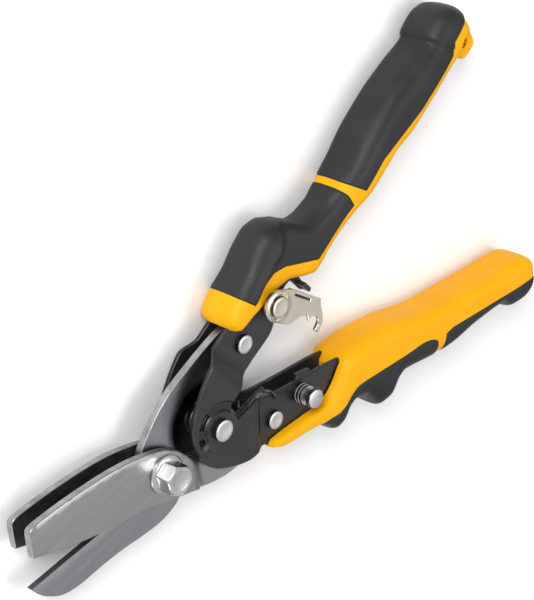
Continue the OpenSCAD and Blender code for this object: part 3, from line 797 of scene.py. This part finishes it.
class Handle:
    """A rounded-box section that changes along the handle. A station is along, inner edge, outer edge, half
    thickness. square is how square its inner and its outer side are, where 2 is an ellipse. relief gives the
    share of the thickness that is taken off at a place."""

    def __init__(self, stations, square, relief=None):
        s, t_in, t_out, h = zip(*stations)
        self.ends = (s[0], s[-1])
        self.inner, self.outer, self.half = monotone(s, t_in), monotone(s, t_out), monotone(s, h)
        self.square, self.relief = square, relief

    def at(self, s, a, relieved=True):
        """The surface's point at s along the handle, in direction a round the section."""
        ti, to, h = self.inner(s), self.outer(s), self.half(s)
        mid, wide = (ti + to) / 2, (to - ti) / 2
        c, n = np.cos(a), np.sin(a)
        e = np.where(c < 0, *self.square)
        r = (np.abs(c) ** e + np.abs(n) ** e) ** (-1 / e)
        t, z = mid + wide * r * c, h * r * n
        if self.relief and relieved:
            z = z * (1 - self.relief(s, t))
        return np.stack([s + 0 * t, t, z], axis=-1)

    def normal(self, s, a):
        """Outward from the section without its relief, so that skins at two depths never fold at a crease."""
        ds, da = 0.15, 0.012
        along = self.at(s + ds, a, False) - self.at(s - ds, a, False)
        around = self.at(s, a + da, False) - self.at(s, a - da, False)
        n = np.cross(around, along)
        n /= np.linalg.norm(n, axis=-1)[..., None] + 1e-12
        middle = (self.inner(s) + self.outer(s)) / 2
        p = self.at(s, a)
        out = (p[..., 1] - middle) * n[..., 1] + p[..., 2] * n[..., 2]
        return n * np.where(out < 0, -1, 1)[..., None]

    def angle(self, s, t):
        """The direction round the near side at which the surface has reached t."""
        ti, to = self.inner(s), self.outer(s)
        u = np.clip((t - (ti + to) / 2) / ((to - ti) / 2), -1, 1)
        e = np.where(u < 0, *self.square)
        return np.arctan2((1 - np.abs(u) ** e) ** (1 / e), u)


CORE_DROP, HIDDEN_DROP = 0.05, 0.7


def shell(handle, areas, step=1.2, around=88):
    """The whole handle as a closed skin, which lies deeper under its rubber panels."""
    s0, s1 = handle.ends
    count = round((s1 - s0) / step)
    stations = s0 + (s1 - s0) * np.linspace(0, 1, count + 1)
    angles = np.linspace(0, 2 * math.pi, around, endpoint=False)
    s, a = np.meshgrid(stations, angles, indexing="ij")
    p = handle.at(s, a)
    places = p.reshape(-1, 3)[:, :2]
    drop = np.full(len(places), CORE_DROP)
    for area in areas:
        covered = inside(places, np.array(area, float))
        drop += HIDDEN_DROP * covered * ease(distance(places, area), 0.8, 2.0)
    p = p - drop.reshape(s.shape)[..., None] * handle.normal(s, a)
    verts = [tuple(v) for v in p.reshape(-1, 3)]
    faces = []
    for i in range(count):
        for k in range(around):
            j = (k + 1) % around
            faces.append((i * around + k, i * around + j, (i + 1) * around + j, (i + 1) * around + k))
    faces += [tuple(range(around)), tuple(range(len(verts) - around, len(verts)))]
    return verts, faces, [0] * len(faces)


# A panel is laid out flat, with the direction round the section times ROUND_R as its second number.
ROUND_R = 14.0
PROUD, SUNK, LIP = 0.34, 1.1, 1.0


def panel(handle, area, bulge=None, lines=()):
    """A rubber panel over the part of a handle's surface whose near side is the area, joined round the outer
    edge to its mirror image on the far side. It stands a little proud, with a rounded border. bulge gives
    more height at a place, and lines are creases in it."""
    chain = dense(area, 0.5, closed=False)
    s, t = chain[:, 0], chain[:, 1]
    keep = (s > handle.ends[0]) & (s < handle.ends[1]) & (t < handle.outer(s))
    s, t = s[keep], t[keep]
    half = np.stack([s, handle.angle(s, t) * ROUND_R], 1)
    ends = [np.array([[half[i, 0], 0.0]]) for i in (0, -1)]
    loop = np.concatenate([ends[0], half, ends[1], (half * (1, -1))[::-1]])
    loop = turned(dense(rounded(loop, keep=60, rounds=2), 0.7))
    inner = shifted(loop, 0.22)
    creases = [shifted(loop, d) for d in (0.5, 0.95)]
    for line in lines:
        line = dense(line, 0.8, closed=False)
        turn = handle.angle(line[:, 0], line[:, 1]) * ROUND_R
        creases += [np.stack([line[:, 0], turn], 1), np.stack([line[:, 0], -turn], 1)]
    flat, tris, place = filled([inner], 1.3, 0.3, creases)
    n, m = len(flat), len(loop)

    def surface(q, height):
        s, a = q[:, 0], q[:, 1] / ROUND_R
        p = handle.at(s, a)
        if bulge is not None:
            height = height + bulge(s, p[:, 1])
        return p + height[:, None] * handle.normal(s, a)

    d = np.minimum(distance(flat, loop) / LIP, 1.0)
    height = PROUD * np.sqrt(np.maximum(0.0, 1 - (1 - d) ** 2))
    verts = np.concatenate([surface(flat, height), surface(loop, np.full(m, -0.1)),
                            surface(loop, np.full(m, -SUNK)), surface(flat, np.full(n, -SUNK))])
    faces = list(tris) + [(n + 2 * m + t[0], n + 2 * m + t[2], n + 2 * m + t[1]) for t in tris]
    for i in range(m):
        j = (i + 1) % m
        faces += [(place[i], n + i, n + j, place[j]), (n + i, n + m + i, n + m + j, n + j),
                  (n + m + i, n + 2 * m + place[i], n + 2 * m + place[j], n + m + j)]
    return [tuple(v) for v in verts], faces, [0] * len(faces)


GUARD_DEPTH = 0.26
crease = monotone((30, 44, 58, 64, 68.5, 72.6, 75.2, 79), (19, 20, 20.7, 20.9, 22.4, 25, 28.4, 36))


def guard_relief(s, t):
    """The faces drop beside the finger guard, on the inner side of its crease."""
    depth = GUARD_DEPTH * ease(s, 42, 56) * (1 - ease(s, 84, 112))
    return depth * (1 - ease(t - crease(s), -3.0, 0.0))


def cut(target, cutters, add=()):
    """The target with some shapes joined on and others taken away, all as one closed mesh."""
    verts, faces, _ = target
    base = raw("target", verts, faces)
    for operation, parts in (("UNION", add), ("DIFFERENCE", cutters)):
        for part in parts:
            tool = raw("tool", part[0], part[1])
            mod = base.modifiers.new("cut", "BOOLEAN")
            mod.operation, mod.solver, mod.object = operation, "EXACT", tool
            dg = bpy.context.evaluated_depsgraph_get()
            made = bpy.data.meshes.new_from_object(base.evaluated_get(dg))
            base.modifiers.clear()
            base.data = made
            bpy.data.objects.remove(tool)
    mesh = base.data
    result = ([tuple(v.co) for v in mesh.vertices], [tuple(p.vertices) for p in mesh.polygons],
              [0] * len(mesh.polygons))
    bpy.data.objects.remove(base)
    return result


def raw(name, verts, faces):
    """A plain object of the mesh, to cut with or to be cut."""
    mesh = bpy.data.meshes.new(name)
    mesh.from_pydata([Vector(v) for v in verts], [], faces)
    bm = bmesh.new()
    bm.from_mesh(mesh)
    bmesh.ops.recalc_face_normals(bm, faces=bm.faces)
    bm.to_mesh(mesh)
    bm.free()
    obj = bpy.data.objects.new(name, mesh)
    bpy.context.scene.collection.objects.link(obj)
    return obj


def prism(outline, z0, z1, bevel=0.3):
    """A coarse plate, to cut with or to be cut."""
    return plate(outline, z0, z1, bevel=bevel, step=4.0, edge_step=3.0)


def trough(back, slot):
    """The room for the frame inside a handle's front, which reaches out to back. The frame's end sits in the
    two slots, which go from slot[0] to slot[1]."""
    mouth = back + 0.5
    middle = prism([(0, -40), (0, mouth), (30, mouth), (34, back), (62, back), (66, slot[1]), (66, -40)],
                   -6, 6)
    near = prism([(58, slot[0]), (58, slot[1]), (68, slot[1]), (68, slot[0])], 3.6, 6.2, 0.1)
    return [middle, near, mirrored(near)]


upper = Handle([(31.4, 19, 22, 5.5), (32, 18, 23, 7.5), (34, 16, 25, 9.5), (41, 14.5, 26.5, 10),
                (51, 9.5, 27.5, 10), (61, 5, 30, 10), (67, -2, 30.5, 10.5), (72, -6.5, 28.5, 10.5),
                (76, -6.5, 24.5, 10.5), (81, -5.5, 14.5, 10.5), (87, -5.5, 11, 10.5), (96, -6, 9, 10),
                (110, -7.5, 9, 10.5), (126, -7.5, 11, 10.8), (140, -10, 11.5, 10.8),
                (157, -10.5, 9.5, 10.8), (169, -10.5, 7.5, 10.5), (172, -11, 9, 10.5),
                (178, -11, 9.5, 10.5), (184, -10.5, 7.5, 10), (187, -10, 4, 8), (188.5, -8.5, 1, 5),
                (188.9, -6.5, -1, 3)], (5, 2.8), guard_relief)
UPPER_FRONT = [(37, 60), (41, 32), (44, 18.5), (59, 16), (64, 12.5), (75, -1.5), (100, -1.5), (101, 4),
               (100.5, 10), (99.5, 30), (99.5, 60)]
UPPER_REAR = [(102.5, 60), (102.5, 30), (103, 10), (105, 4), (107, -2), (121, -1), (147, -5.5), (166, -6),
              (172, -5.5), (176, -1.5), (200, -0.5), (200, 60)]
LUG, LUG_H, LUG_HOLE_R, LUG_RECESS_R, PAST_LUG = (181, -11), 6.0, 2.8, 4.2, 13
BUSH_ROOM_R, BUSH_ROOM_LOW, BUSH_ROOM_TOP = 4.1, 5.5, 12
LUG_OUTLINE = [(173.5, -9), (176.5, -17), (178.5, -18.5), (184.5, -18.5), (186.5, -17), (187.5, -9)]
GUARD_CREASE = [(s, float(crease(s))) for s in range(45, 73, 3)]
CAP_LEAN, CAP_START, CAP_HEIGHT = 0.4, 172.2, 0.6
CAP_STEP = [(CAP_START - CAP_LEAN * t, t) for t in (-5, 6.5)]


def upper_cap(s, t):
    """The raised cap at the end of the rear grip, whose border leans forward on the outer side."""
    return CAP_HEIGHT * ease(s - CAP_START + CAP_LEAN * t, -0.1, 0.7)


lug = [prism(rounded(LUG_OUTLINE, keep=90), -LUG_H, LUG_H, 0.9)]
hole = lathe([(0, -PAST_LUG), (LUG_HOLE_R, -PAST_LUG), (LUG_HOLE_R, PAST_LUG), (0, PAST_LUG)], 40, LUG)
recess = lathe([(0, LUG_H), (LUG_HOLE_R + 0.8, LUG_H), (LUG_RECESS_R, LUG_H + 0.5),
                (LUG_RECESS_R + 0.3, PAST_LUG), (0, PAST_LUG)], 40, LUG)
bush_room = lathe([(0, BUSH_ROOM_LOW), (BUSH_ROOM_R, BUSH_ROOM_LOW), (BUSH_ROOM_R, BUSH_ROOM_TOP),
                   (0, BUSH_ROOM_TOP)], 40, LATCH_EYE)
upper_cuts = trough(21, (0, 11)) + [hole, recess, mirrored(recess), bush_room]
upper_core = cut(shell(upper, (UPPER_FRONT, UPPER_REAR)), upper_cuts, lug)
piece("upper_handle_yellow", upper_core, UPPER, "upper_handle", ["upper_handle_core"],
      (yellow,))
piece("upper_front_rubber", panel(upper, UPPER_FRONT, lines=[GUARD_CREASE]), UPPER, "upper_handle",
      ["upper_front_grip"], (rubber,), sharp=50.0)
piece("upper_rear_rubber", panel(upper, UPPER_REAR, upper_cap, [CAP_STEP]), UPPER, "upper_handle",
      ["upper_rear_grip"], (rubber,), sharp=50.0)

lower = Handle([(27.6, 18, 19.7, 5.5), (28, 17, 20.5, 7.5), (30, 16.5, 21, 9), (34, 15.5, 21.5, 10),
                (50, 12.5, 20.5, 10), (56, 11, 21, 10), (59, 9, 23, 10), (64, 3, 26, 10.5),
                (67, -2, 25, 10.5), (70, -5.5, 20.5, 10.5), (75, -6.5, 17.5, 10.5), (81, -8, 18, 10.5),
                (85, -8.5, 21, 10.5), (90, -9, 25.5, 10.5), (95, -9, 24.5, 10.5), (99, -9, 18.5, 10.5),
                (104, -8.5, 15, 10.5), (122, -7, 14.5, 10.5), (131, -7.5, 13.5, 10.7),
                (148, -8.5, 8.5, 10.7), (166, -10, 5.5, 10.7), (172, -11, 9, 10.7), (179, -11.5, 8.5, 10.5),
                (184, -10, 5.5, 10), (186, -7.5, 2, 7.5), (186.4, -5.5, 0.5, 5)], (4, 3.4))
LOWER_FRONT = rounded([(52, 60), (53.5, 26), (55.5, 18.5), (65, 17.5), (72, 10), (79, 8.5), (104, 6),
                       (113.5, 4), (121.5, 5.5), (122.5, 9), (121, 13), (119.5, 60)], keep=100)
LOWER_REAR = [(125.5, 60), (126, 11), (127, 5), (131, 3.5), (166, 0.5), (184, -1.5), (200, -1.5), (200, 60)]
lower_core = cut(shell(lower, (LOWER_FRONT, LOWER_REAR)), trough(19.3, (-3.6, 9)))
piece("lower_handle_yellow", lower_core, LOWER, "lower_handle", ["lower_handle_core"],
      (yellow,))
piece("lower_front_rubber", panel(lower, LOWER_FRONT), LOWER, "lower_handle", ["lower_front_grip"],
      (rubber,), sharp=50.0)
piece("lower_rear_rubber", panel(lower, LOWER_REAR), LOWER, "lower_handle", ["lower_rear_grip"],
      (rubber,), sharp=50.0)


# ---- the small parts that keep their own mesh ----

# Painted shade: the pivot washers take the near-black shade material and the pivot bush and blade spacers the
# darkened inner steel.
for name, mat in (("thrust_washers", zinc), ("handle_pivot_bush", spring_steel),
                  ("handle_pivot_washers", shade_black), ("centre_blade_spacers", spring_steel),
                  ("latch_bush", frame_black)):
    mesh = frame["nodes"][name].data
    mesh.materials.clear()
    mesh.materials.append(mat)


# ---- floor, light and camera ----

floor_mat = finish_of("studio_floor", (0.86, 0.86, 0.86), (0.88, 0.88, 0.88), (0.6, 0.7), scale=4.0)
FLOOR_HALF = 6.0
floor_mesh = bpy.data.meshes.new("studio_floor")
floor_mesh.from_pydata([(-FLOOR_HALF, -FLOOR_HALF, 0), (FLOOR_HALF, -FLOOR_HALF, 0),
                        (FLOOR_HALF, FLOOR_HALF, 0), (-FLOOR_HALF, FLOOR_HALF, 0)], [], [(0, 1, 2, 3)])
floor_mesh.materials.append(floor_mat)
floor = bpy.data.objects.new("studio_floor", floor_mesh)
bpy.context.scene.collection.objects.link(floor)

world = bpy.data.worlds.new("studio")
bpy.context.scene.world = world
world.use_nodes = True
sky = world.node_tree
backdrop = sky.nodes["Background"]
backdrop.inputs["Strength"].default_value = 0.62
direction = sky.nodes.new("ShaderNodeTexCoord")
parts = sky.nodes.new("ShaderNodeSeparateXYZ")
height_ramp = sky.nodes.new("ShaderNodeValToRGB")
for k, (at, level) in enumerate(((0.0, 0.35), (0.75, 1.0))):
    height_ramp.color_ramp.elements[k].position = at
    height_ramp.color_ramp.elements[k].color = (level, level, level, 1)
sky.links.new(direction.outputs["Generated"], parts.inputs["Vector"])
sky.links.new(parts.outputs["Z"], height_ramp.inputs["Fac"])
sky.links.new(height_ramp.outputs["Color"], backdrop.inputs["Color"])


def softbox(name, place, aim, size, power):
    """A round soft light at a place, turned to the point it is aimed at."""
    light = bpy.data.lights.new(name, "AREA")
    light.shape, light.size, light.energy = "DISK", size, power
    obj = bpy.data.objects.new(name, light)
    obj.location = place
    obj.rotation_euler = (Vector(aim) - Vector(place)).to_track_quat("-Z", "Y").to_euler()
    bpy.context.scene.collection.objects.link(obj)


softbox("key_light", (0.55, -1.25, 0.85), (0, 0, 0), 0.7, 22.0)
softbox("side_light", (1.3, 0.5, 0.8), (0, 0, 0), 0.5, 3.0)
softbox("top_light", (-0.4, 0.3, 1.6), (0, 0, 0), 0.9, 9.0)

CAMERA_FROM_HUB = Vector((0.2833, -0.4863, 0.4963))
CAMERA_RIGHT = Vector((-0.6519, 0.2874, 0.7017))
CAMERA_BACK = Vector((0.4367, -0.6143, 0.6572)).normalized()
camera = bpy.data.objects.new("camera", bpy.data.cameras.new("camera"))
bpy.context.scene.collection.objects.link(camera)
camera.data.lens, camera.data.sensor_width, camera.data.sensor_fit = 134.83, 36.0, "HORIZONTAL"
camera.data.clip_start, camera.data.clip_end = 0.01, 50.0
right = (CAMERA_RIGHT - CAMERA_BACK * CAMERA_RIGHT.dot(CAMERA_BACK)).normalized()
camera.matrix_world = Matrix.Translation(hub + CAMERA_FROM_HUB) @ Matrix(
    (right, CAMERA_BACK.cross(right), CAMERA_BACK)).transposed().to_4x4()
bpy.context.scene.camera = camera
bpy.context.scene.view_settings.view_transform = "Standard"
